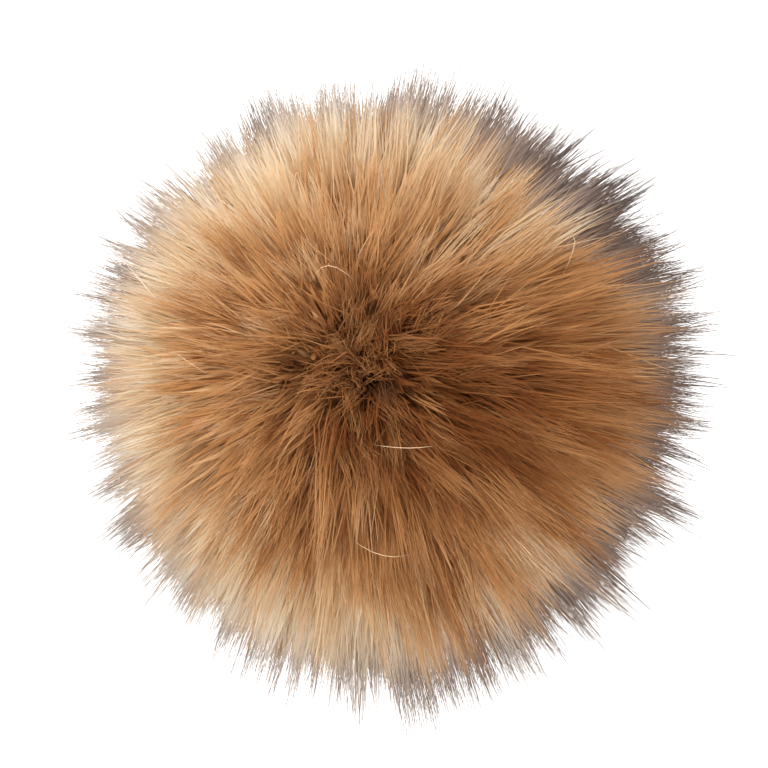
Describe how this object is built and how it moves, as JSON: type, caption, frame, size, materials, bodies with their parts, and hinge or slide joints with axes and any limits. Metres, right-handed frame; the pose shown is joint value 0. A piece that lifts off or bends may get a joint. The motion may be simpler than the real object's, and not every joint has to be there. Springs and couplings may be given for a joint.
{
  "type": "fur pom pom",
  "caption": "Round long-haired fur pom pom: pointed locks stand out all round a small ball of gathered cloth, with a short pleated neck below to sew it on by.",
  "frame": {"origin": "middle of the gathered neck's flat end, on the surface that the pom pom rests on", "axes": "+Z from the neck up to the crown of the pile; the pile leans a little towards +X and -Y"},
  "size_m": [0.1308, 0.129, 0.1021],
  "materials": {
    "fur": "matte"
  },
  "bodies": {
    "root": {"fur_ball": "fur"}
  },
  "joints": []
}
